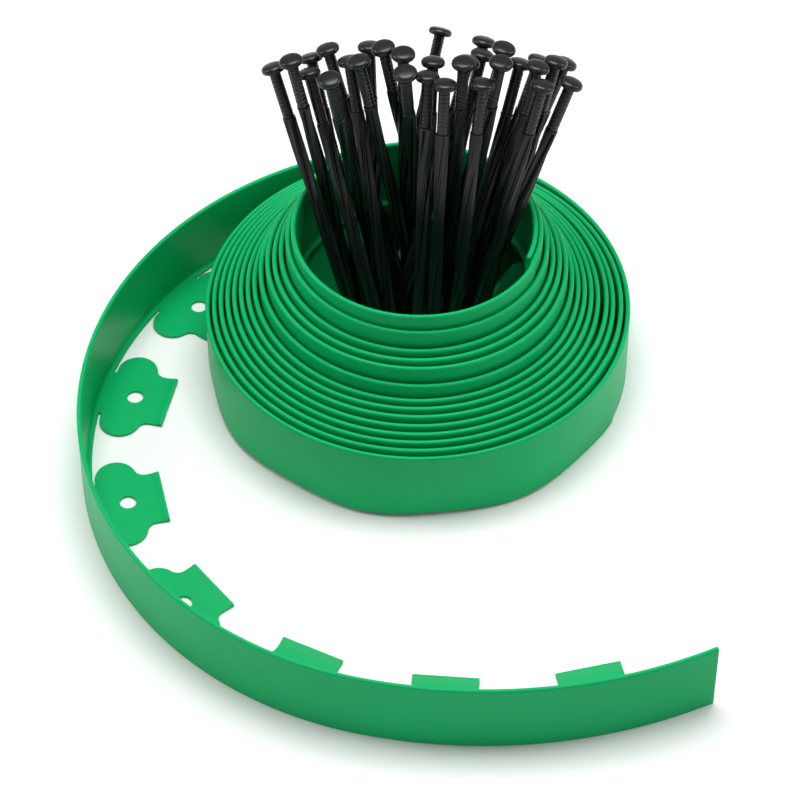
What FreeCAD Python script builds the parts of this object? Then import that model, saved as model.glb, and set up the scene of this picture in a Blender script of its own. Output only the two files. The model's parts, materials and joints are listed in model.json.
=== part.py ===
import FreeCAD, Part
import math
import os

import Sketcher
from FreeCAD import Placement, Rotation, Vector

# A roll of plastic lawn edging with its ground spikes standing in the middle of the coil.
# The edging is one moulded strip: an upright wall with a row of flat tabs along its inner foot,
# each tab pierced for a spike. Most of it is wound into a coil that rises towards its centre,
# and the outer end is unrolled in a wide curve round the coil.
# Millimetres, +Z up, origin on the ground under the middle of the whole roll.

PARTS_FOLDER = "parts"

# The driving dimensions, in millimetres and degrees.
DRIVING_SIZES = {
    "coil_x": 16.2,  # coil axis from the origin
    "coil_y": 71.35,
    "strip_height": 45.0,
    "strip_wall": 2.6,
    "coil_radius": 117.4,  # outer face where the unrolled run leaves the coil
    "turn_pitch": 3.8,  # radius lost in one turn
    "end_spring": 0.7,  # how far the innermost turn springs out towards the next
    "seam_angle": -22.0,  # where the unrolled run leaves the coil
    "run_radius_near": 125.0,  # the three bends of the unrolled run, outer face
    "run_radius_middle": 200.0,
    "run_radius_far": 270.0,
    "run_sweep_near": 130.0,
    "run_sweep_middle": 148.0,
    "run_sweep_far": 40.0,
    "tab_thickness": 1.8,
    "tab_reach": 40.0,
    "tab_end_half_width": 17.5,
    "tab_pitch": 88.0,
    "first_tab": 57.0,  # along the wall from the free end
    "lobe_radius": 11.4,
    "lobe_side": 18.5,  # lobe centre from the tab's middle line
    "lobe_depth": 16.4,  # lobe centre from the wall
    "notch_radius": 2.2,
    "shoulder_radius": 5.0,
    "peg_hole_diameter": 9.0,
    "peg_hole_depth": 20.0,  # hole centre from the wall
    "spike_length": 200.0,
    "spike_core_diameter": 5.6,
    "spike_rib_diameter": 7.1,
    "spike_rib_width": 1.6,
    "spike_rib_count": 4,
    "spike_rib_margin": 2.0,  # plain core left below and above the ribs
    "spike_neck_diameter": 6.2,
    "spike_neck_length": 27.0,
    "spike_point_length": 20.0,
    "spike_point_diameter": 0.8,
    "spike_head_diameter": 13.0,
    "spike_head_rim": 1.4,
    "spike_head_dome": 3.0,
}

# How high each turn of the coil stands, from the outermost in. Every turn rests on the tabs
# of the one outside it, and the inner turns have been pushed up further.
TURN_HEIGHTS = [2.2, 4.4, 6.6, 8.8, 11.2, 14.2, 16.4, 18.6, 26.0, 35.5, 38.0, 41.0, 51.0, 60.0]

# How far the tabs of each turn hang down, in degrees. The outer turns' tabs lie flat on each other,
# and those inside the well are bent down by the spikes.
TAB_DROOPS = [0, 0, 0, 0, 0, 1, 1, 1, 9, 20, 22, 25, 37, 46]

# How much of each turn's tabs is lost from their reach, where their ends curl away under the spikes.
TAB_CURLS = [0, 0, 0, 0, 0, 0, 0, 0, 0, 0, 0, 4.5, 0, 0]

# Where each spike stands in the well: its point and its head in plan, from the coil axis.
SPIKE_STANDS = [
    (-23, -21, -78, 46),
    (-25, 4, -68, 38),
    (-9, -33, -59, 46),
    (-15, -27, -58, 61),
    (4, 1, -49, 56),
    (-16, 27, -47, 17),
    (-8, -23, -37, 46),
    (8, 11, -32, 35),
    (-20, -14, -26, 55),
    (17, 29, -19, 44),
    (-5, 24, -8, 35),
    (6, 29, -7, 20),
    (-1, -33, 5, 28),
    (0, -25, 8, 42),
    (-30, -13, 13, 98),
    (7, -32, 14, 18),
    (15, 8, 24, 29),
    (-19, -5, 27, 41),
    (15, -30, 34, 19),
    (-12, -15, 35, 56),
    (-4, -12, 36, 70),
    (13, 17, 44, 31),
    (5, 19, 46, 46),
    (9, -24, 55, 50),
    (18, -9, 64, 37),
    (21, -25, 66, 22),
    (4, -16, 66, 58),
    (25, -13, 74, 46),
    (7, -7, 80, 55),
    (15, -18, 82, 32),
]

UP = Vector(0, 0, 1)
HALF_TURN = 180.0
FULL_TURN = 360.0

doc = FreeCAD.newDocument("LawnEdgingRoll")
sheet = doc.addObject("Spreadsheet::Sheet", "sizes")
for row, (alias, value) in enumerate(DRIVING_SIZES.items(), start=1):
    sheet.set(f"A{row}", alias)
    sheet.set(f"B{row}", str(value))
    sheet.setAlias(f"B{row}", alias)
doc.recompute()

sub_parts = []


def size(alias):
    """A driving dimension, read from the sheet."""
    return float(getattr(sheet, alias))


def bind(thing, target, expression):
    """Ties a property or a sketch constraint to the sheet, such as strip_height / 2."""
    for alias in sorted(DRIVING_SIZES, key=len, reverse=True):
        expression = expression.replace(alias, f"<<sizes>>.{alias}")
    thing.setExpression(target, expression)


def new_body(name):
    """A body for one sub-part, listed to be written out."""
    body = doc.addObject("PartDesign::Body", name)
    body.Label = name
    sub_parts.append(body)
    return body


def new_sketch(body, name, plane="XY_Plane", lift=0.0):
    """A sketch on one of its body's own origin planes, lifted along that plane's normal."""
    sketch = body.newObject("Sketcher::SketchObject", name)
    support = [item for item in body.Origin.OriginFeatures if item.Role == plane][0]
    sketch.AttachmentSupport = [(support, "")]
    sketch.MapMode = "FlatFace"
    sketch.AttachmentOffset = Placement(Vector(0, 0, lift), Rotation())
    return sketch


def pad(body, name, sketch, length):
    """A pad whose length is an expression on the sheet."""
    feature = body.newObject("PartDesign::Pad", name)
    feature.Profile = sketch
    bind(feature, "Length", length)
    sketch.Visibility = False
    body.Tip = feature
    return feature


def polar(radius, degrees, centre=Vector()):
    angle = math.radians(degrees)
    return centre + Vector(radius * math.cos(angle), radius * math.sin(angle), 0)


# ---------------------------------------------------------------- unrolled run
# The wall of the unrolled run: three tangent bends that carry on from the coil's outer turn.

coil_axis = Vector(size("coil_x"), size("coil_y"), 0)
bends = []  # centre, outer radius, first angle, last angle, distance along the wall at its start
centre = coil_axis
face_radius = size("coil_radius")
angle = size("seam_angle")
run_length = 0.0
for place in ("near", "middle", "far"):
    radius = size(f"run_radius_{place}")
    centre = polar(face_radius - radius, angle, centre)
    sweep = size(f"run_sweep_{place}")
    bends.append((centre, radius, angle, angle + sweep, run_length))
    run_length += radius * math.radians(sweep)
    face_radius = radius
    angle += sweep

run_wall = new_body("run_wall")
wall_sketch = new_sketch(run_wall, "run_wall_outline")
for side in (0.0, size("strip_wall")):
    for centre, radius, first, last, _ in bends:
        circle = Part.Circle(centre, UP, radius - side)
        wall_sketch.addGeometry(Part.ArcOfCircle(circle, math.radians(first), math.radians(last)))
for bend, angle_index in ((bends[0], 2), (bends[-1], 3)):
    inner = polar(bend[1] - size("strip_wall"), bend[angle_index], bend[0])
    outer = polar(bend[1], bend[angle_index], bend[0])
    wall_sketch.addGeometry(Part.LineSegment(outer, inner))
for index, place in enumerate(("near", "middle", "far")):
    outer_id = wall_sketch.addConstraint(Sketcher.Constraint("Radius", index, bends[index][1]))
    bind(wall_sketch, f"Constraints[{outer_id}]", f"run_radius_{place}")
pad(run_wall, "run_wall_pad", wall_sketch, "strip_height")


def run_station(distance):
    """The bend, angle and wall radius at a distance along the unrolled run from the coil."""
    for centre, radius, first, last, start in bends:
        end = start + radius * math.radians(last - first)
        if distance <= end:
            return centre, radius, first + math.degrees((distance - start) / radius)
    raise ValueError("past the free end of the strip")


# ------------------------------------------------------------------------ tabs
# One tab's outline in plan, as a closed chain of lines and arcs. Its middle line is +Y, the wall's
# inner face passes through the start of it, and the root follows that face's curve.


def tab_outline(root_radius, overlap=0.0):
    end_half = size("tab_end_half_width")
    reach = size("tab_reach")
    notch = size("notch_radius")
    shoulder = size("shoulder_radius")
    lobe = Vector(size("lobe_side"), size("lobe_depth"), 0)
    lobe_radius = size("lobe_radius")

    root_curve = root_radius + overlap
    root_side = root_radius - math.sqrt(root_curve**2 - end_half**2)
    lobe_top = lobe.y - math.sqrt(lobe_radius**2 - (lobe.x - end_half) ** 2)
    shoulder_x = end_half + shoulder
    shoulder_y = lobe.y + math.sqrt((lobe_radius + shoulder) ** 2 - (shoulder_x - lobe.x) ** 2)
    shoulder_centre = Vector(shoulder_x, shoulder_y, 0)
    joint = lobe + (shoulder_centre - lobe) * (lobe_radius / (lobe_radius + shoulder))
    joint_angle = math.atan2(joint.y - shoulder_y, joint.x - shoulder_x)
    middle_angle = (math.degrees(joint_angle) - HALF_TURN) / 2
    shoulder_middle = polar(shoulder, middle_angle, shoulder_centre)

    root = Vector(end_half, root_side, 0)
    notch_middle = Vector(end_half - notch, (root_side + lobe_top) / 2, 0)
    notch_end = Vector(end_half, lobe_top, 0)
    lobe_middle = lobe + Vector(lobe_radius, 0, 0)
    neck = Vector(end_half, shoulder_y, 0)
    corner = Vector(end_half, reach, 0)

    def mirrored(point):
        return None if point is None else Vector(-point.x, point.y, 0)

    right = [
        (root, notch_middle, notch_end),
        (notch_end, lobe_middle, joint),
        (joint, shoulder_middle, neck),
        (neck, None, corner),
    ]
    left = [
        (mirrored(end), mirrored(middle), mirrored(start))
        for start, middle, end in reversed(right)
    ]
    end_line = [(corner, None, mirrored(corner))]
    root_arc = [(mirrored(root), Vector(0, -overlap, 0), root)]
    chain = []
    for start, middle, end in right + end_line + left + root_arc:
        if middle is None:
            chain.append(Part.LineSegment(start, end))
        else:
            chain.append(Part.Arc(start, middle, end))
    return chain


# The tabs of the unrolled run, numbered from the free end. Each is padded up from the ground with
# its peg hole in it, and turned to face in from the wall.

tab_count = int((run_length - size("first_tab")) // size("tab_pitch")) + 1
for number in range(1, tab_count + 1):
    from_end = size("first_tab") + size("tab_pitch") * (number - 1)
    centre, radius, angle = run_station(run_length - from_end)
    tab = new_body(f"run_tab_{number:02d}")
    outline = new_sketch(tab, f"run_tab_{number:02d}_outline")
    outline.addGeometry(tab_outline(radius - size("strip_wall")))
    hole = Part.Circle(Vector(0, size("peg_hole_depth"), 0), UP, size("peg_hole_diameter") / 2)
    hole_id = outline.addGeometry(hole)
    hole_size = outline.addConstraint(
        Sketcher.Constraint("Diameter", hole_id, size("peg_hole_diameter"))
    )
    bind(outline, f"Constraints[{hole_size}]", "peg_hole_diameter")
    pad(tab, f"run_tab_{number:02d}_pad", outline, "tab_thickness")
    foot = polar(radius - size("strip_wall"), angle, centre)
    tab.Placement = Placement(foot, Rotation(UP, angle + 90.0))

# ------------------------------------------------------------------------ coil
# Each turn is two half rings about centres half a step apart, so its radius shrinks by one pitch.
# Its tabs hang as parts of a cone that follows the half ring, because their root is curved.


def ring_section(points, centre, first):
    """Half a turn of the strip's section, given as radius and height, revolved clockwise."""
    corners = [Vector(radius, 0, height) for radius, height in points]
    face = Part.Face(Part.makePolygon(corners + corners[:1]))
    solid = face.revolve(Vector(), UP, -HALF_TURN)
    solid.Placement = Placement(centre, Rotation(UP, first))
    return solid


def half_turn(centre, outer_radius, first, height, droop, curl):
    """The pieces of one half turn: its half ring of wall, and each tab on it."""
    wall = size("strip_wall")
    inner = outer_radius - wall
    top = height + size("strip_height")
    section = [(inner, height), (outer_radius, height), (outer_radius, top), (inner, top)]
    half_wall = ring_section(section, centre, first)

    slope = math.radians(droop)
    along = (math.cos(slope), math.sin(slope))
    thickness = size("tab_thickness")
    root_x = inner + wall / 2
    run = size("tab_reach") - curl + wall / 2
    lower = [(root_x, height), (root_x - run * along[0], height - run * along[1])]
    raise_by = (-thickness * along[1], thickness * along[0])
    upper = [(x + raise_by[0], z + raise_by[1]) for x, z in lower]
    skirt = ring_section(lower + upper[::-1], centre, first)

    count = round(math.pi * inner / size("tab_pitch"))
    prisms = []
    for index in range(count):
        angle = first - HALF_TURN * (index + 0.5) / count
        edges = [curve.toShape() for curve in tab_outline(inner, overlap=wall / 2)]
        blank = Part.Face(Part.Wire(edges))
        hole_centre = Vector(0, size("peg_hole_depth"), 0)
        hole = Part.Face(Part.Wire(Part.makeCircle(size("peg_hole_diameter") / 2, hole_centre)))
        squeeze = FreeCAD.Matrix()
        squeeze.scale(1.0, math.cos(slope), 1.0)
        prism = blank.cut(hole).transformGeometry(squeeze).extrude(UP * size("spike_length"))
        prism.Placement = Placement(
            polar(inner, angle, centre) - UP * size("spike_length") / 2,
            Rotation(UP, angle + 90.0),
        )
        prisms.append(prism)
    return [half_wall] + skirt.common(prisms).Solids


for turn, (height, droop, curl) in enumerate(zip(TURN_HEIGHTS, TAB_DROOPS, TAB_CURLS)):
    outer = size("coil_radius") - size("turn_pitch") * turn
    if turn == len(TURN_HEIGHTS) - 1:
        outer += size("end_spring")
    step = size("turn_pitch") / 2
    seam = size("seam_angle")
    pieces = half_turn(coil_axis, outer, seam, height, droop, curl)
    second_centre = polar(-step, seam, coil_axis)
    pieces += half_turn(second_centre, outer - step, seam + HALF_TURN, height, droop, curl)
    feature = doc.addObject("Part::Feature", f"coil_turn_{turn + 1:02d}")
    feature.Label = feature.Name
    feature.Shape = pieces[0].multiFuse(pieces[1:]).removeSplitter()
    sub_parts.append(feature)

# ---------------------------------------------------------------------- spikes
# One moulded ground spike: a domed head, a plain neck, a ribbed shank and a point. It is drawn
# standing on its point at the origin.


def spike_profile():
    """Half the spike's outline as radius and height, from the point up to the crown."""
    length = size("spike_length")
    head_radius = size("spike_head_diameter") / 2
    rim_top = length - size("spike_head_dome")
    head_foot = rim_top - size("spike_head_rim")
    neck_foot = head_foot - size("spike_neck_length")
    core = size("spike_core_diameter") / 2
    neck = size("spike_neck_diameter") / 2
    corners = [
        (0, 0),
        (size("spike_point_diameter") / 2, 0),
        (core, size("spike_point_length")),
        (core, neck_foot),
        (neck, neck_foot),
        (neck, head_foot),
        (head_radius, head_foot),
        (head_radius, rim_top),
    ]
    points = [Vector(radius, height, 0) for radius, height in corners]
    lines = [Part.LineSegment(a, b) for a, b in zip(points, points[1:])]
    dome = size("spike_head_dome")
    dome_radius = (head_radius**2 + dome**2) / (2 * dome)
    half_angle = math.asin(head_radius / dome_radius) / 2
    dome_middle = Vector(
        dome_radius * math.sin(half_angle), length - dome_radius * (1 - math.cos(half_angle)), 0
    )
    crown = Vector(0, length, 0)
    return lines + [Part.Arc(points[-1], dome_middle, crown), Part.LineSegment(crown, points[0])]


def make_spike(name):
    spike = new_body(name)
    profile = new_sketch(spike, name + "_profile", plane="XZ_Plane")
    profile.addGeometry(spike_profile())
    turned = spike.newObject("PartDesign::Revolution", name + "_turned")
    turned.Profile = profile
    turned.ReferenceAxis = (profile, ["V_Axis"])
    turned.Angle = FULL_TURN
    profile.Visibility = False
    spike.Tip = turned

    half_width = size("spike_rib_width") / 2
    reach = size("spike_rib_diameter") / 2
    rib_foot = size("spike_point_length") + size("spike_rib_margin")
    rib = new_sketch(spike, name + "_rib_section", lift=rib_foot)
    corners = [
        Vector(0, -half_width, 0),
        Vector(reach, -half_width, 0),
        Vector(reach, half_width, 0),
        Vector(0, half_width, 0),
    ]
    for start, end in zip(corners, corners[1:] + corners[:1]):
        rib.addGeometry(Part.LineSegment(start, end))
    rib_pad = pad(
        spike,
        name + "_rib",
        rib,
        "spike_length - spike_point_length - spike_neck_length - spike_head_dome"
        " - spike_head_rim - 2 * spike_rib_margin",
    )
    ribs = spike.newObject("PartDesign::PolarPattern", name + "_ribs")
    ribs.Originals = [rib_pad]
    ribs.Axis = (rib, ["N_Axis"])
    ribs.Angle = FULL_TURN
    ribs.Occurrences = int(size("spike_rib_count"))
    spike.Tip = ribs
    return spike


for number, (foot_x, foot_y, head_x, head_y) in enumerate(SPIKE_STANDS, start=1):
    spike = make_spike(f"spike_{number:02d}")
    lean = Vector(head_x - foot_x, head_y - foot_y, 0)
    lean.z = math.sqrt(size("spike_length") ** 2 - lean.Length**2)
    lowest = size("spike_point_diameter") / 2 * math.sin(lean.getAngle(UP))
    foot = coil_axis + Vector(foot_x, foot_y, lowest)
    spike.Placement = Placement(foot, Rotation(UP, lean))

# --------------------------------------------------------------- check and write
doc.recompute()
for item in doc.Objects:
    if "Invalid" in item.State or "Error" in item.State:
        raise RuntimeError(f"{item.Name} did not build: {item.State}")
for item in sub_parts:
    if item.Shape.isNull() or not item.Shape.isValid() or not item.Shape.Solids:
        raise RuntimeError(f"{item.Label} has no valid solid")

os.makedirs(PARTS_FOLDER, exist_ok=True)
box = FreeCAD.BoundBox()
for item in sub_parts:
    item.Shape.exportStep(os.path.join(PARTS_FOLDER, item.Label + ".step"))
    box.add(item.Shape.BoundBox)
print(f"{len(sub_parts)} sub-parts, strip run {run_length:.0f} mm")
print(f"from {box.XMin:.2f} {box.YMin:.2f} {box.ZMin:.2f} to {box.XMax:.2f} {box.YMax:.2f} {box.ZMax:.2f}")
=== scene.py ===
import json
import math

import bmesh
import bpy
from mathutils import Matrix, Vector
from mathutils.geometry import delaunay_2d_cdt


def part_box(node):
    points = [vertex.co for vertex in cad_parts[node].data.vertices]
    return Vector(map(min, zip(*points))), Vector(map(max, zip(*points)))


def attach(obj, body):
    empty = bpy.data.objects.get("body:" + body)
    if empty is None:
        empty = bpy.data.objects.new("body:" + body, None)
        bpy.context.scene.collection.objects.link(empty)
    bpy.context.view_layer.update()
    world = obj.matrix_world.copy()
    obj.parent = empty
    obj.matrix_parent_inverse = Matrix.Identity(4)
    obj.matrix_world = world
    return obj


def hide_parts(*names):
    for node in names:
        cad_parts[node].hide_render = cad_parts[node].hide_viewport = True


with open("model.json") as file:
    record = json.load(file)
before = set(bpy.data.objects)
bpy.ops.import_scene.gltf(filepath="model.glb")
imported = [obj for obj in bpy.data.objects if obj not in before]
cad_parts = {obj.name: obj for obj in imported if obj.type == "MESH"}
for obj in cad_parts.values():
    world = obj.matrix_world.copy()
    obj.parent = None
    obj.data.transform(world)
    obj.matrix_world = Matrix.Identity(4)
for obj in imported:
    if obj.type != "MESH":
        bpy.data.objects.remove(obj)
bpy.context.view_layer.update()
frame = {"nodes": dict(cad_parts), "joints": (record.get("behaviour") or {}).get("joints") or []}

# ------------------------------------------------------------ the strip's green plastic
# The edging is extruded from low density polyethylene, dyed through, and its tabs are punched out
# afterwards. The calender rolls leave a fine satin grain, drawn lines run along the wall, and the
# waxy plastic lets a little light in at thin edges.


def linear(code):
    """An sRGB hex colour such as 0f9d58 as a linear colour with alpha."""
    values = [int(code[start : start + 2], 16) / 255 for start in (0, 2, 4)]
    return [v / 12.92 if v <= 0.04045 else ((v + 0.055) / 1.055) ** 2.4 for v in values] + [1.0]


def add_node(tree, kind, inputs=None, **settings):
    """Adds a node, makes its settings, and fills or links its inputs."""
    node = tree.nodes.new(kind)
    for name, value in settings.items():
        setattr(node, name, value)
    for key, value in (inputs or {}).items():
        if isinstance(value, bpy.types.NodeSocket):
            tree.links.new(value, node.inputs[key])
        else:
            node.inputs[key].default_value = value
    return node


MM = 0.001
GRAIN_SIZE = 0.9 * MM  # the roll grain is finer, about 0.2 mm, drawn coarser so that it shows
GRAIN_DEPTH = 0.1 * MM
DRAWN_LINE_SPACING = 1.6 * MM
DRAWN_LINE_DEPTH = 0.15 * MM
CLOUD_SIZE = 60 * MM

polyethylene = bpy.data.materials.new("extruded_green_polyethylene")
polyethylene.use_nodes = True
tree = polyethylene.node_tree
shader = tree.nodes["Principled BSDF"]
place = add_node(tree, "ShaderNodeTexCoord").outputs["Object"]
cloud = add_node(
    tree, "ShaderNodeTexNoise", {"Vector": place, "Scale": 1 / CLOUD_SIZE, "Detail": 3.0}
)
tint = add_node(
    tree,
    "ShaderNodeMix",
    {"Factor": cloud.outputs["Fac"], "A": linear("00a660"), "B": linear("00b067")},
    data_type="RGBA",
)
grain = add_node(
    tree, "ShaderNodeTexNoise", {"Vector": place, "Scale": 1 / GRAIN_SIZE, "Detail": 4.0}
)
flatten = add_node(
    tree, "ShaderNodeMapping", {"Vector": place, "Scale": (0.02, 0.02, 1.0)}
)
drawn = add_node(
    tree,
    "ShaderNodeTexNoise",
    {"Vector": flatten.outputs[0], "Scale": 1 / DRAWN_LINE_SPACING, "Detail": 2.0},
)
grain_bump = add_node(
    tree,
    "ShaderNodeBump",
    {"Height": grain.outputs["Fac"], "Strength": 0.08, "Distance": GRAIN_DEPTH},
)
drawn_bump = add_node(
    tree,
    "ShaderNodeBump",
    {
        "Height": drawn.outputs["Fac"],
        "Normal": grain_bump.outputs[0],
        "Strength": 0.12,
        "Distance": DRAWN_LINE_DEPTH,
    },
)
satin = add_node(
    tree,
    "ShaderNodeMapRange",
    {"Value": cloud.outputs["Fac"], "To Min": 0.36, "To Max": 0.44},
)
tree.links.new(tint.outputs["Result"], shader.inputs["Base Color"])
tree.links.new(drawn_bump.outputs[0], shader.inputs["Normal"])
tree.links.new(satin.outputs[0], shader.inputs["Roughness"])
shader.inputs["IOR"].default_value = 1.51
shader.inputs["Specular IOR Level"].default_value = 0.14
shader.inputs["Subsurface Weight"].default_value = 0.15
shader.inputs["Subsurface Radius"].default_value = (0.2, 1.0, 0.5)
shader.inputs["Subsurface Scale"].default_value = 2.0 * MM

# ----------------------------------------------------------------- the edging's upright wall
# One strip of edging, about nine metres long: an extruded polyethylene wall with a rounded top edge
# and a narrow flange along its inner foot. It is wound into a rising coil, and its outer end is
# unrolled in a wide curve round the coil. Nothing holds the coil but its own set.

WALL = 2.6 * MM
WALL_HEIGHT = 45 * MM
COIL_RADIUS = 117.4 * MM  # outer face where the unrolled run leaves the coil
TURN_PITCH = 3.8 * MM
END_SPRING = 0.7 * MM  # the innermost turn springs out towards the next
SEAM = math.radians(-22)
RUN_BENDS = ((125 * MM, 130), (200 * MM, 148), (270 * MM, 40))  # outer radius and sweep
PATH_STEP = 5 * MM
FLANGE = 2.8 * MM
FLANGE_THICKNESS = 1.6 * MM
FLANGE_FILLET = 2.0 * MM
FOOT_WAVE = 1.3 * MM  # the coil's tabs draw its foot in, so that it bellies out between them
FOOT_ROUND = 0.7 * MM
FLANGE_EDGE = 0.7 * MM
FLANGE_FOOT = 0.3 * MM
RIM_ROUND = 0.98 * WALL / 2
WALL_LEVELS = [v * MM for v in (6, 12, 20, 30, 42, 43.2)]  # where the flat faces have points
FIRST_LEVEL = 2 * MM
FIRST_TAB = 57 * MM  # from the free end
TAB_PITCH = 88 * MM
# The windings have sprung apart at the right: how far each turn from the outermost stands out of
# its even place there, in millimetres.
SPRUNG = (0, -0.9, -0.7, -2.0, -2.0, -1.9, -1.7, -1.5, -1.3, -1.0, -0.8, -0.5, -0.2, 0)
SPRUNG_AZIMUTH = math.radians(20)
SPRUNG_SPREAD = math.radians(75)
HEIGHT_AZIMUTH = math.radians(-90)  # each turn has its solid's height at the front

turns = sorted(name for name in frame["nodes"] if name.startswith("coil_turn_"))
coil_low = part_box(turns[0])[0]
coil_axis = Vector((coil_low.x + COIL_RADIUS, coil_low.y + COIL_RADIUS))
turn_heights = [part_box(name)[1].z - WALL_HEIGHT for name in turns]


def around(centre, radius, angle):
    """The point at a radius and an angle about a centre."""
    return Vector((centre.x + radius * math.cos(angle), centre.y + radius * math.sin(angle)))


def arc_points(centre, radius, first, sweep):
    """Points along an arc, about a path step apart, without the last one."""
    count = max(2, round(abs(radius * sweep) / PATH_STEP))
    return [around(centre, radius, first + sweep * i / count) for i in range(count)]


def eased(value):
    """A smooth step from 0 to 1, flat beyond both."""
    value = min(max(value, 0.0), 1.0)
    return value * value * (3 - 2 * value)


def climb(wound):
    """The foot's height where the strip has been wound by this many radians from the seam."""
    turn = (wound - (SEAM - HEIGHT_AZIMUTH)) / math.tau
    if turn < 0:
        return turn_heights[0] * eased(1 + turn * math.tau / (SEAM - HEIGHT_AZIMUTH))
    whole = min(int(turn), len(turn_heights) - 1)
    following = min(whole + 1, len(turn_heights) - 1)
    return turn_heights[whole] + (turn_heights[following] - turn_heights[whole]) * (turn - whole)


def sprung(turn, angle):
    """How far a turn stands out of its even place at an azimuth."""
    away = abs((angle - SPRUNG_AZIMUTH + math.pi) % math.tau - math.pi)
    return SPRUNG[turn] * MM * eased(1 - away / SPRUNG_SPREAD)


# The path of the wall's outer face along the ground, from the inner end of the coil out to the
# free end: half rings about two centres, then the three bends of the run.
path = []
heights = []
for turn in reversed(range(len(turns))):
    outer = COIL_RADIUS - TURN_PITCH * turn
    if turn == len(turns) - 1:
        outer += END_SPRING
    for half in (1, 0):
        centre = around(coil_axis, -TURN_PITCH / 2 * half, SEAM)
        radius = outer - TURN_PITCH / 2 * half
        points = arc_points(centre, radius, SEAM - math.pi * (half + 1), math.pi)
        for index, point in enumerate(points):
            wound = math.pi * (half + 1 - index / len(points))
            radial = (point - centre).normalized()
            path.append(point + radial * sprung(turn, SEAM - wound))
            heights.append(climb(math.tau * turn + wound))
centre, face, angle = coil_axis, COIL_RADIUS, SEAM
for radius, sweep in RUN_BENDS:
    centre = around(centre, face - radius, angle)
    path += arc_points(centre, radius, angle, math.radians(sweep))
    face, angle = radius, angle + math.radians(sweep)
path.append(around(centre, face, angle))
bellies = [1.0] * len(heights) + [0.0] * (len(path) - len(heights))
heights += [0.0] * (len(path) - len(heights))

distances = [0.0]
for near, far in zip(reversed(path[:-1]), reversed(path[1:])):
    distances.append(distances[-1] + (far - near).length)
distances.reverse()


def line_mesh(name, points, closed=False, **numbers):
    """A mesh of edges through the points, with a number at each point under each name."""
    mesh = bpy.data.meshes.new(name)
    edges = [(i, i + 1) for i in range(len(points) - 1)]
    if closed:
        edges.append((len(points) - 1, 0))
    mesh.from_pydata(points, edges, [])
    for key, values in numbers.items():
        mesh.attributes.new(key, "FLOAT", "POINT").data.foreach_set("value", values)
    return bpy.data.objects.new(name, mesh)


def corner(x, y, radius, first, steps=5):
    """A quarter round about a centre, as section points, turning left from the first angle."""
    angles = [math.radians(first + 90 * i / steps) for i in range(steps + 1)]
    return [(x + radius * math.cos(a), y + radius * math.sin(a)) for a in angles]


# How far each turn's tabs hang: the lowest point of its solid is the tip of a hanging tab.
TAB_REACH = 40 * MM
tab_droops = []
for name, height in zip(turns, turn_heights):
    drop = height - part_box(name)[0].z
    tab_droops.append(math.asin(max(drop, 0.0) / (TAB_REACH + WALL / 2)))
droops = []
for point, height in zip(path, heights):
    nearest = min(range(len(turns)), key=lambda k: abs(turn_heights[k] - height))
    droops.append(tab_droops[nearest] if height > 0 else 0.0)

# The wall's section, seen along the strip: outer face on the right, flange on the left.
half = WALL / 2
fillet_top = FLANGE_THICKNESS + FLANGE_FILLET
section = corner(half - FOOT_ROUND, FOOT_ROUND, FOOT_ROUND, -90)
section += [(half, level) for level in [FIRST_LEVEL] + WALL_LEVELS]
section += corner(half - RIM_ROUND, WALL_HEIGHT - RIM_ROUND, RIM_ROUND, 0)
section += corner(RIM_ROUND - half, WALL_HEIGHT - RIM_ROUND, RIM_ROUND, 90)[1:]
section += [(-half, level) for level in reversed(WALL_LEVELS)]
section += corner(-half - FLANGE_FILLET, fillet_top, FLANGE_FILLET, -90)[::-1]
flange_side = -half - FLANGE
section += corner(flange_side + FLANGE_EDGE, FLANGE_THICKNESS - FLANGE_EDGE, FLANGE_EDGE, 90, 3)
section += corner(flange_side + FLANGE_FOOT, FLANGE_FOOT, FLANGE_FOOT, 180, 2)

path_object = line_mesh(
    "strip_path",
    [(p.x, p.y, z) for p, z in zip(path, heights)],
    along=distances,
    droop=droops,
    belly=bellies,
)
section_object = line_mesh(
    "strip_section",
    [(x - half, -y, 0.0) for x, y in section],
    closed=True,
    rise=[y / WALL_HEIGHT for _, y in section],
)


def new_tree(name, **inputs):
    """A geometry tree with a geometry in and out, and named inputs with their socket types."""
    made = bpy.data.node_groups.new(name, "GeometryNodeTree")
    made.interface.new_socket("Geometry", in_out="OUTPUT", socket_type="NodeSocketGeometry")
    made.interface.new_socket("Geometry", in_out="INPUT", socket_type="NodeSocketGeometry")
    for label, kind in inputs.items():
        made.interface.new_socket(label, in_out="INPUT", socket_type="NodeSocket" + kind)
    return made, add_node(made, "NodeGroupInput").outputs


def finish_tree(made, geometry, material):
    """Ends a tree in real geometry with its material, shaded smooth."""
    real = add_node(made, "GeometryNodeRealizeInstances", {"Geometry": geometry})
    smooth = add_node(made, "GeometryNodeSetShadeSmooth", {"Geometry": real.outputs[0]})
    painted = add_node(
        made, "GeometryNodeSetMaterial", {"Geometry": smooth.outputs[0], "Material": material}
    )
    add_node(made, "NodeGroupOutput", {"Geometry": painted.outputs[0]})


def grow(name, start, made, values):
    """Runs a tree on a start object with its inputs set, and returns the plain piece it makes."""
    bpy.context.scene.collection.objects.link(start)
    modifier = start.modifiers.new("made", "NODES")
    modifier.node_group = made
    for item in made.interface.items_tree:
        if item.name in values:
            modifier[item.identifier] = values[item.name]
    evaluated = start.evaluated_get(bpy.context.evaluated_depsgraph_get())
    mesh = bpy.data.meshes.new_from_object(evaluated)
    mesh.name = name
    for key in ("along", "droop", "belly", "rise", "travel"):
        if key in mesh.attributes:
            mesh.attributes.remove(mesh.attributes[key])
    start.modifiers.remove(modifier)
    bpy.context.scene.collection.objects.unlink(start)
    piece = bpy.data.objects.new(name, mesh)
    bpy.context.scene.collection.objects.link(piece)
    return piece


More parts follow.
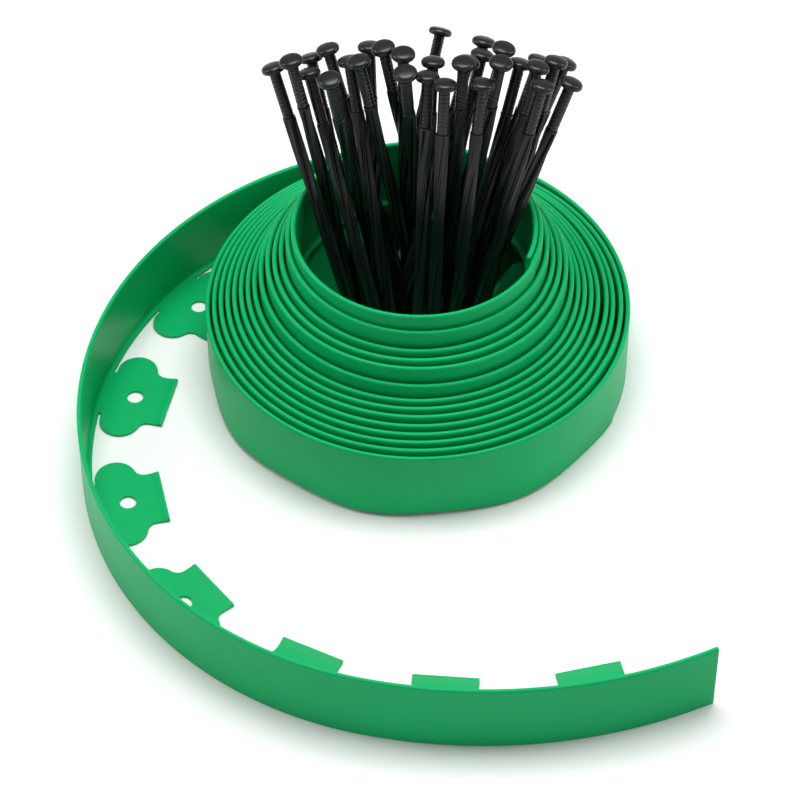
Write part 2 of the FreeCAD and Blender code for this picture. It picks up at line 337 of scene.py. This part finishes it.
def named(made, name, kind="FLOAT"):
    """The socket of a named attribute."""
    found = add_node(made, "GeometryNodeInputNamedAttribute", {"Name": name}, data_type=kind)
    return found.outputs["Attribute"]


def sums(made, operation, *values, kind="ShaderNodeMath"):
    """The result of one math node on numbers or sockets."""
    node = add_node(made, kind, dict(enumerate(values)), operation=operation)
    return node.outputs["Value" if kind == "ShaderNodeMath" else "Vector"]


sweep, given = new_tree(
    "edging_sweep",
    Section="Object",
    FirstTab="Float",
    TabPitch="Float",
    FootWave="Float",
    Material="Material",
)
line = add_node(sweep, "GeometryNodeMeshToCurve", {"Mesh": given["Geometry"]})
upright = add_node(
    sweep, "GeometryNodeSetCurveNormal", {"Curve": line.outputs[0]}, mode="Z_UP"
)
marked = add_node(
    sweep,
    "GeometryNodeStoreNamedAttribute",
    {
        "Geometry": upright.outputs[0],
        "Name": "travel",
        "Value": add_node(sweep, "GeometryNodeInputTangent").outputs[0],
    },
    data_type="FLOAT_VECTOR",
)
outline = add_node(sweep, "GeometryNodeObjectInfo", {"Object": given["Section"]})
ring = add_node(sweep, "GeometryNodeMeshToCurve", {"Mesh": outline.outputs["Geometry"]})
swept = add_node(
    sweep,
    "GeometryNodeCurveToMesh",
    {"Curve": marked.outputs[0], "Profile Curve": ring.outputs[0], "Fill Caps": True},
)
from_tab = sums(sweep, "SUBTRACT", named(sweep, "along"), given["FirstTab"])
phase = sums(sweep, "MULTIPLY", sums(sweep, "DIVIDE", from_tab, given["TabPitch"]), math.tau)
below = sums(sweep, "SUBTRACT", 1.0, named(sweep, "rise"))
share = sums(sweep, "POWER", below, 2.0)
swing = sums(sweep, "MULTIPLY", sums(sweep, "COSINE", phase), given["FootWave"])
swing = sums(sweep, "MULTIPLY", swing, named(sweep, "belly"))
shift = sums(sweep, "MULTIPLY", sums(sweep, "MULTIPLY", swing, share), -1.0)
outward = sums(
    sweep,
    "CROSS_PRODUCT",
    named(sweep, "travel", "FLOAT_VECTOR"),
    (0.0, 0.0, 1.0),
    kind="ShaderNodeVectorMath",
)
moved = add_node(sweep, "ShaderNodeVectorMath", {0: outward, "Scale": shift}, operation="SCALE")
waved = add_node(
    sweep, "GeometryNodeSetPosition", {"Geometry": swept.outputs[0], "Offset": moved.outputs[0]}
)
finish_tree(sweep, waved.outputs[0], given["Material"])

wall = grow(
    "edging_wall",
    path_object,
    sweep,
    {
        "Section": section_object,
        "FirstTab": FIRST_TAB,
        "TabPitch": TAB_PITCH,
        "FootWave": FOOT_WAVE,
        "Material": polyethylene,
    },
)
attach(wall, "strip")
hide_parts("run_wall", *turns)

# ---------------------------------------------------------------------- the strip's pegging tabs
# The tabs are what is left of the strip's flat leg once it is punched: a round eared plate with a
# peg hole, a square end and the leg's own thickened bead along it. Those in the coil's well hang,
# bent down by the spikes.

TAB_THICKNESS = 1.8 * MM
TAB_END = 17.5 * MM  # half the width of the square end
EAR_RADIUS = 11.4 * MM
EAR_SIDE = 18.5 * MM
EAR_DEPTH = 16.4 * MM
TAB_ROOT = 0.8 * MM  # how far the plate runs into the wall
NOTCH_INSET = 0.6 * MM
TAB_FOOT = 0.05 * MM  # clear of the ground
SHOULDER_RADIUS = 5 * MM
HOLE_RADIUS = 4.5 * MM
HOLE_DEPTH = 20 * MM
BEAD_WIDTH = 5.0 * MM
BEAD_RISE = 0.7 * MM
BEAD_ROWS = (1.0, 0.85, 0.7, 0.55, 0.4, 0.2)  # rows of points, as shares of the bead's width
BEAD_ARCH = 0.62 * math.pi  # how far round its arch the bead has come at the tab's end
EDGE_ROUND = 0.45 * MM
SHARP_TAB_EDGE = math.radians(20)


def arc_between(centre, radius, first, last, steps):
    """Points along an arc about a centre, with both its ends."""
    angles = [first + (last - first) * i / steps for i in range(steps + 1)]
    return [around(Vector(centre), radius, angle) for angle in angles]


ear = Vector((EAR_SIDE, EAR_DEPTH))
shoulder_x = TAB_END + SHOULDER_RADIUS
centres_apart = EAR_RADIUS + SHOULDER_RADIUS
shoulder_rise = math.sqrt(centres_apart**2 - (shoulder_x - EAR_SIDE) ** 2)
shoulder = Vector((shoulder_x, EAR_DEPTH + shoulder_rise))
meeting = math.atan2(shoulder.y - ear.y, shoulder.x - ear.x)
ear_start = -math.pi / 2 - math.asin((EAR_SIDE - TAB_END) / EAR_RADIUS)
ear_foot = EAR_DEPTH - EAR_RADIUS
notch = (TAB_END - NOTCH_INSET, (FLANGE + ear_foot) / 2)
notch_radius = (ear_foot - FLANGE) / 2
side = [Vector((TAB_END, -TAB_ROOT)), Vector((TAB_END, FLANGE))]
side += arc_between(notch, notch_radius, -math.pi / 2, -math.pi * 1.5, 6)
side += arc_between(ear, EAR_RADIUS, ear_start, meeting, 14)
side += arc_between(shoulder, SHOULDER_RADIUS, meeting - math.pi, -math.pi, 4)[1:]
side += [Vector((TAB_END, TAB_REACH - BEAD_WIDTH)), Vector((TAB_END, TAB_REACH))]
tab_outline = side + [Vector((-p.x, p.y)) for p in reversed(side)]
hole = arc_between((0.0, HOLE_DEPTH), HOLE_RADIUS, 0.0, math.tau, 24)[:-1]

# The flat plate is triangulated inside its outline, with rows of points across the bead.
bead_lines = [TAB_REACH - BEAD_WIDTH * share for share in BEAD_ROWS]
corners = tab_outline + hole
joins = [(i, (i + 1) % len(tab_outline)) for i in range(len(tab_outline))]
first_hole = len(tab_outline)
joins += [(first_hole + i, first_hole + (i + 1) % len(hole)) for i in range(len(hole))]
for height in bead_lines:
    joins.append((len(corners), len(corners) + 1))
    corners += [Vector((-TAB_END, height)), Vector((TAB_END, height))]
flat, _, triangles, _, _, _ = delaunay_2d_cdt(corners, joins, [], 1, 1e-7)


def inside_hole(face):
    """Whether a triangle of the plate lies in the peg hole."""
    middle = sum((flat[i] for i in face), Vector((0.0, 0.0))) / len(face)
    return (middle - Vector((0.0, HOLE_DEPTH))).length < HOLE_RADIUS * 0.98


# The plate is given its thickness, its edges are rounded, and the bead is raised along its end.
shape = bmesh.new()
dots = [shape.verts.new((p.x, p.y + WALL, TAB_THICKNESS)) for p in flat]
for face in triangles:
    if not inside_hole(face):
        shape.faces.new([dots[i] for i in face])
loose = [v for v in shape.verts if not v.link_faces]
bmesh.ops.delete(shape, geom=loose, context="VERTS")
bmesh.ops.recalc_face_normals(shape, faces=shape.faces)
if sum(f.normal.z for f in shape.faces) < 0:
    bmesh.ops.reverse_faces(shape, faces=shape.faces)
top_faces = list(shape.faces)
low = bmesh.ops.extrude_face_region(shape, geom=top_faces, use_keep_orig=True)
low_verts = [g for g in low["geom"] if isinstance(g, bmesh.types.BMVert)]
bmesh.ops.translate(shape, verts=low_verts, vec=(0, 0, TAB_FOOT - TAB_THICKNESS))
bmesh.ops.recalc_face_normals(shape, faces=shape.faces)
rims = [e for e in shape.edges if len(e.link_faces) == 2 and e.calc_face_angle(0) > 1.0]
rims = [e for e in rims if abs(e.verts[0].co.z - e.verts[1].co.z) < 1e-6]
bmesh.ops.bevel(
    shape, geom=rims, offset=EDGE_ROUND, segments=2, profile=0.5, affect="EDGES", clamp_overlap=True
)
for vert in shape.verts:
    depth = vert.co.y - WALL - (TAB_REACH - BEAD_WIDTH)
    if vert.co.z > TAB_THICKNESS * 0.6 and depth > 0:
        lift = math.sin(BEAD_ARCH * min(depth / BEAD_WIDTH, 1.0)) ** 2
        vert.co.z += BEAD_RISE * lift
tab_mesh = bpy.data.meshes.new("pegging_tab")
shape.to_mesh(tab_mesh)
shape.free()
tab_mesh.set_sharp_from_angle(angle=SHARP_TAB_EDGE)
tab_object = bpy.data.objects.new("pegging_tab", tab_mesh)

punched, given = new_tree(
    "pegging_tabs",
    Tab="Object",
    From="Float",
    To="Float",
    TabPitch="Float",
    Material="Material",
)
line = add_node(punched, "GeometryNodeMeshToCurve", {"Mesh": given["Geometry"]})
back = add_node(punched, "GeometryNodeReverseCurve", {"Curve": line.outputs[0]})
piece_of = add_node(
    punched,
    "GeometryNodeTrimCurve",
    {"Curve": back.outputs[0], 4: given["From"], 5: given["To"]},
    mode="LENGTH",
)
stations = add_node(
    punched,
    "GeometryNodeCurveToPoints",
    {"Curve": piece_of.outputs[0], "Length": given["TabPitch"]},
    mode="LENGTH",
)
parts = add_node(punched, "ShaderNodeSeparateXYZ", {0: stations.outputs["Tangent"]}).outputs
heading = sums(
    punched,
    "ARCTAN2",
    sums(punched, "MULTIPLY", parts["Y"], -1.0),
    sums(punched, "MULTIPLY", parts["X"], -1.0),
)
hang = sums(punched, "MULTIPLY", named(punched, "droop"), -1.0)
turned = add_node(punched, "ShaderNodeCombineXYZ", {"X": hang, "Z": heading})
plate = add_node(punched, "GeometryNodeObjectInfo", {"Object": given["Tab"]})
placed = add_node(
    punched,
    "GeometryNodeInstanceOnPoints",
    {
        "Points": stations.outputs["Points"],
        "Instance": plate.outputs["Geometry"],
        "Rotation": turned.outputs[0],
    },
)
finish_tree(punched, placed.outputs[0], given["Material"])

run_tab_nodes = sorted(name for name in frame["nodes"] if name.startswith("run_tab_"))
first_coil_tab = FIRST_TAB + TAB_PITCH * len(run_tab_nodes)
coil_tab_count = math.floor((distances[0] - TAB_END - first_coil_tab) / TAB_PITCH) + 1
for name, start, count in (
    ("run_tabs", FIRST_TAB, len(run_tab_nodes)),
    ("coil_tabs", first_coil_tab, coil_tab_count),
):
    tabs = grow(
        name,
        path_object,
        punched,
        {
            "Tab": tab_object,
            "From": start,
            "To": start + TAB_PITCH * (count - 1) + 0.01 * MM,
            "TabPitch": TAB_PITCH,
            "Material": polyethylene,
        },
    )
    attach(tabs, "strip")
    if name == "run_tabs":
        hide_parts(*run_tab_nodes)

# ------------------------------------------------------------------------- the ground spikes
# Thirty spikes moulded in black polypropylene: a button head for the mallet, a neck with fine
# grooves, and a shank of four ribs with a slow twist, so that it grips the soil. They stand loose
# in the coil's well.

SPIKE_LENGTH = 200 * MM
HEAD_HEIGHT = 4.4 * MM
HEAD_OUTLINE = (  # radius and height above the head's underside, in millimetres
    (3.6, 0.0),
    (5.2, 0.05),
    (6.0, 0.35),
    (6.4, 0.95),
    (6.5, 1.7),
    (6.4, 2.45),
    (6.1, 3.05),
    (5.6, 3.55),
    (4.8, 3.92),
    (3.6, 4.17),
    (2.2, 4.32),
    (1.0, 4.38),
)
NECK_RADIUS = 3.1 * MM
NECK_LENGTH = 27 * MM
NECK_TOP_MARGIN = 0.6 * MM
COLLAR_OUTLINE = (  # radius and height from the top of the shank, in millimetres
    (2.2, -1.2),
    (3.45, -0.9),
    (3.45, 0.0),
    (2.7, 0.2),
    (2.7, 0.7),
    (3.1, 0.9),
)
GROOVE_COUNT = 10
GROOVE_DEPTH = 0.3 * MM
GROOVE_OUTLINE = ((-0.35, 0.0), (-0.15, 1.0), (0.15, 1.0), (0.35, 0.0))  # mm, share of the depth
RIB_REACH = 3.5 * MM
RIB_HALF_WIDTH = 0.9 * MM
RIB_EDGE = 0.2 * MM
RIB_ROOT = 0.3 * MM
RIB_GROOVE = 0.35 * MM  # a fine groove along each rib
RIB_GROOVE_HALF_WIDTH = 0.3 * MM
CORE_RADIUS = 1.7 * MM
CORE_CORNER = 0.72 * CORE_RADIUS
POINT_LENGTH = 22 * MM
POINT_SHARE = 0.12  # how thick the shank is at its tip
TWIST = math.radians(200)  # over the shank
RING_STEP = 2.5 * MM
ROUND_POINTS = 32
SHARP_SPIKE_EDGE = math.radians(35)
FLOW_SIZE = 9 * MM
PORE_SIZE = 0.8 * MM
PORE_DEPTH = 0.05 * MM

# Black polypropylene as it comes from the mould: glossy, with flow marks and fine pores.
polypropylene = bpy.data.materials.new("moulded_black_polypropylene")
polypropylene.use_nodes = True
tree = polypropylene.node_tree
shader = tree.nodes["Principled BSDF"]
place = add_node(tree, "ShaderNodeTexCoord").outputs["Object"]
flow = add_node(
    tree, "ShaderNodeTexNoise", {"Vector": place, "Scale": 1 / FLOW_SIZE, "Detail": 4.0}
)
pores = add_node(
    tree, "ShaderNodeTexNoise", {"Vector": place, "Scale": 1 / PORE_SIZE, "Detail": 3.0}
)
tint = add_node(
    tree,
    "ShaderNodeMix",
    {"Factor": flow.outputs["Fac"], "A": linear("09090b"), "B": linear("18181b")},
    data_type="RGBA",
)
gloss = add_node(
    tree, "ShaderNodeMapRange", {"Value": flow.outputs["Fac"], "To Min": 0.24, "To Max": 0.38}
)
bump = add_node(
    tree,
    "ShaderNodeBump",
    {"Height": pores.outputs["Fac"], "Strength": 0.1, "Distance": PORE_DEPTH},
)
tree.links.new(tint.outputs["Result"], shader.inputs["Base Color"])
tree.links.new(gloss.outputs[0], shader.inputs["Roughness"])
tree.links.new(bump.outputs[0], shader.inputs["Normal"])
shader.inputs["IOR"].default_value = 1.49
shader.inputs["Specular IOR Level"].default_value = 0.5

shank_top = SPIKE_LENGTH - HEAD_HEIGHT - NECK_LENGTH


def shank_ring(height):
    """The cross section of the shank at a height: four ribs about a core."""
    taper = min(1.0, POINT_SHARE + (1 - POINT_SHARE) * height / POINT_LENGTH)
    twist = TWIST * height / shank_top
    root = math.sqrt(CORE_RADIUS**2 - RIB_HALF_WIDTH**2) + RIB_ROOT
    rib = [
        (RIB_REACH - RIB_GROOVE, 0.0),
        (RIB_REACH, RIB_GROOVE_HALF_WIDTH),
        (RIB_REACH, RIB_HALF_WIDTH - RIB_EDGE),
        (RIB_REACH - RIB_EDGE, RIB_HALF_WIDTH),
        (root, RIB_HALF_WIDTH),
        (CORE_CORNER, CORE_CORNER),
        (RIB_HALF_WIDTH, root),
        (RIB_HALF_WIDTH, RIB_REACH - RIB_EDGE),
        (RIB_HALF_WIDTH - RIB_EDGE, RIB_REACH),
        (RIB_GROOVE_HALF_WIDTH, RIB_REACH),
    ]
    ring_points = []
    for quadrant in range(4):
        cosine = taper * math.cos(twist + quadrant * math.pi / 2)
        sine = taper * math.sin(twist + quadrant * math.pi / 2)
        ring_points += [(x * cosine - y * sine, x * sine + y * cosine, height) for x, y in rib]
    return ring_points


shank_count = round(shank_top / RING_STEP)
shank_heights = [shank_top * index / shank_count for index in range(shank_count + 1)]


def skin(rings, pole_low, pole_high):
    """A closed skin over rings of equal count, with a pole point at each end."""
    count = len(rings[0])
    verts = [point for points in rings for point in points] + [pole_low, pole_high]
    low, high = len(verts) - 2, len(verts) - 1
    faces = []
    for level in range(len(rings) - 1):
        base, above = level * count, (level + 1) * count
        for i in range(count):
            j = (i + 1) % count
            faces.append((base + i, base + j, above + j, above + i))
    last = (len(rings) - 1) * count
    faces += [(low, (i + 1) % count, i) for i in range(count)]
    faces += [(high, last + i, last + (i + 1) % count) for i in range(count)]
    return verts, faces


def lathe_rings(outline_points):
    """Rings of points round the axis, one for each radius and height."""
    angles = [math.tau * i / ROUND_POINTS for i in range(ROUND_POINTS)]
    return [
        [(radius * math.cos(a), radius * math.sin(a), height) for a in angles]
        for radius, height in outline_points
    ]


# The collar, neck and head are turned shapes.
head_foot = shank_top + NECK_LENGTH
neck_outline = [(radius * MM, shank_top + rise * MM) for radius, rise in COLLAR_OUTLINE]
groove_pitch = NECK_LENGTH / (GROOVE_COUNT + 1)
for index in range(1, GROOVE_COUNT + 1):
    level = shank_top + groove_pitch * index
    for rise, share in GROOVE_OUTLINE:
        neck_outline.append((NECK_RADIUS - GROOVE_DEPTH * share, level + rise * MM))
neck_outline.append((NECK_RADIUS, head_foot - NECK_TOP_MARGIN))
neck_outline += [(radius * MM, head_foot + rise * MM) for radius, rise in HEAD_OUTLINE]

shank_verts, shank_faces = skin(
    [shank_ring(h) for h in shank_heights], (0, 0, 0), (0, 0, shank_top)
)
head_verts, head_faces = skin(
    lathe_rings(neck_outline), (0, 0, neck_outline[0][1]), (0, 0, SPIKE_LENGTH)
)
first_head = len(shank_verts)
spike_mesh = bpy.data.meshes.new("ground_spike")
spike_mesh.from_pydata(
    shank_verts + head_verts,
    [],
    shank_faces + [tuple(i + first_head for i in face) for face in head_faces],
)
spike_mesh.update()
spike_mesh.set_sharp_from_angle(angle=SHARP_SPIKE_EDGE)
spike_pattern = bpy.data.objects.new("ground_spike", spike_mesh)

standing, given = new_tree(
    "standing_spike",
    Spike="Object",
    Foot="Vector",
    Lean="Vector",
    Turn="Float",
    Material="Material",
)
pattern = add_node(standing, "GeometryNodeObjectInfo", {"Object": given["Spike"]})
spin = add_node(standing, "ShaderNodeCombineXYZ", {"Z": given["Turn"]})
spun = add_node(
    standing,
    "GeometryNodeTransform",
    {
        "Geometry": pattern.outputs["Geometry"],
        "Rotation": spin.outputs[0],
    },
)
leaning = add_node(
    standing, "FunctionNodeAlignRotationToVector", {"Vector": given["Lean"]}, axis="Z"
)
stood = add_node(
    standing,
    "GeometryNodeTransform",
    {
        "Geometry": spun.outputs[0],
        "Rotation": leaning.outputs[0],
        "Translation": given["Foot"],
    },
)
finish_tree(standing, stood.outputs[0], given["Material"])

# Each spike slides along its joint's axis, and its head's crown is the farthest point that way. The
# golden angle turns each one differently about itself.
GOLDEN_ANGLE = math.radians(137.5)
for index, joint in enumerate(frame["joints"]):
    name = joint["child"]
    lean = Vector(joint["axis"]).normalized()
    crown = max((v.co for v in frame["nodes"][name].data.vertices), key=lambda co: co.dot(lean))
    foot = crown - lean * SPIKE_LENGTH
    start = bpy.data.objects.new(name + "_start", bpy.data.meshes.new(name + "_start"))
    spike = grow(
        "ground_" + name,
        start,
        standing,
        {
            "Spike": spike_pattern,
            "Foot": list(foot),
            "Lean": list(lean),
            "Turn": GOLDEN_ANGLE * index,
            "Material": polypropylene,
        },
    )
    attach(spike, name)
    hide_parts(name)

# ---------------------------------------------------------------------------- the studio
# The roll lies on a wide white board, under a soft box overhead and two soft boxes at its sides. A
# long lens looks down on it from the front.

FLOOR_SIZE = 8.0
OVERHEAD_POWER = 30.0
SIDE_POWER = 6.0
LENS = 150
SENSOR = 36
CAMERA_PLACE = (6.57 * MM, -1215.8 * MM, 1368.3 * MM)
CAMERA_TILT = math.radians(42.544)

floor_mesh = bpy.data.meshes.new("floor")
edge = FLOOR_SIZE / 2
floor_mesh.from_pydata(
    [(-edge, -edge, 0), (edge, -edge, 0), (edge, edge, 0), (-edge, edge, 0)], [], [(0, 1, 2, 3)]
)
floor = bpy.data.objects.new("floor", floor_mesh)
bpy.context.scene.collection.objects.link(floor)
board = bpy.data.materials.new("white_board")  # matt white card
board.use_nodes = True
shader = board.node_tree.nodes["Principled BSDF"]
shader.inputs["Base Color"].default_value = linear("f8f8f8")
shader.inputs["Roughness"].default_value = 0.9
floor_mesh.materials.append(board)

world = bpy.data.worlds.new("studio")
world.use_nodes = True
sky = world.node_tree.nodes["Background"]
sky.inputs["Color"].default_value = linear("ffffff")
sky.inputs["Strength"].default_value = 0.35
bpy.context.scene.world = world


def soft_box(name, position, target, width, depth, power):
    """A rectangular area light that faces a target."""
    light = bpy.data.lights.new(name, "AREA")
    light.shape = "RECTANGLE"
    light.size = width
    light.size_y = depth
    light.energy = power
    lamp = bpy.data.objects.new(name, light)
    lamp.location = position
    lamp.rotation_euler = (Vector(target) - Vector(position)).to_track_quat("-Z", "Y").to_euler()
    bpy.context.scene.collection.objects.link(lamp)


soft_box("overhead", (0.0, 0.3, 1.8), (0.0, 0.0, 0.0), 1.4, 1.0, OVERHEAD_POWER)
soft_box("left_side", (-1.5, 0.2, 0.9), (0.0, 0.0, 0.05), 0.5, 0.9, SIDE_POWER)
soft_box("right_side", (1.5, 0.2, 0.9), (0.0, 0.0, 0.05), 0.5, 0.9, SIDE_POWER)

camera_data = bpy.data.cameras.new("camera")
camera_data.lens = LENS
camera_data.sensor_width = SENSOR
camera = bpy.data.objects.new("camera", camera_data)
camera.location = CAMERA_PLACE
camera.rotation_euler = (CAMERA_TILT, 0.0, 0.0)
bpy.context.scene.collection.objects.link(camera)
bpy.context.scene.camera = camera
bpy.context.scene.view_settings.view_transform = "Standard"
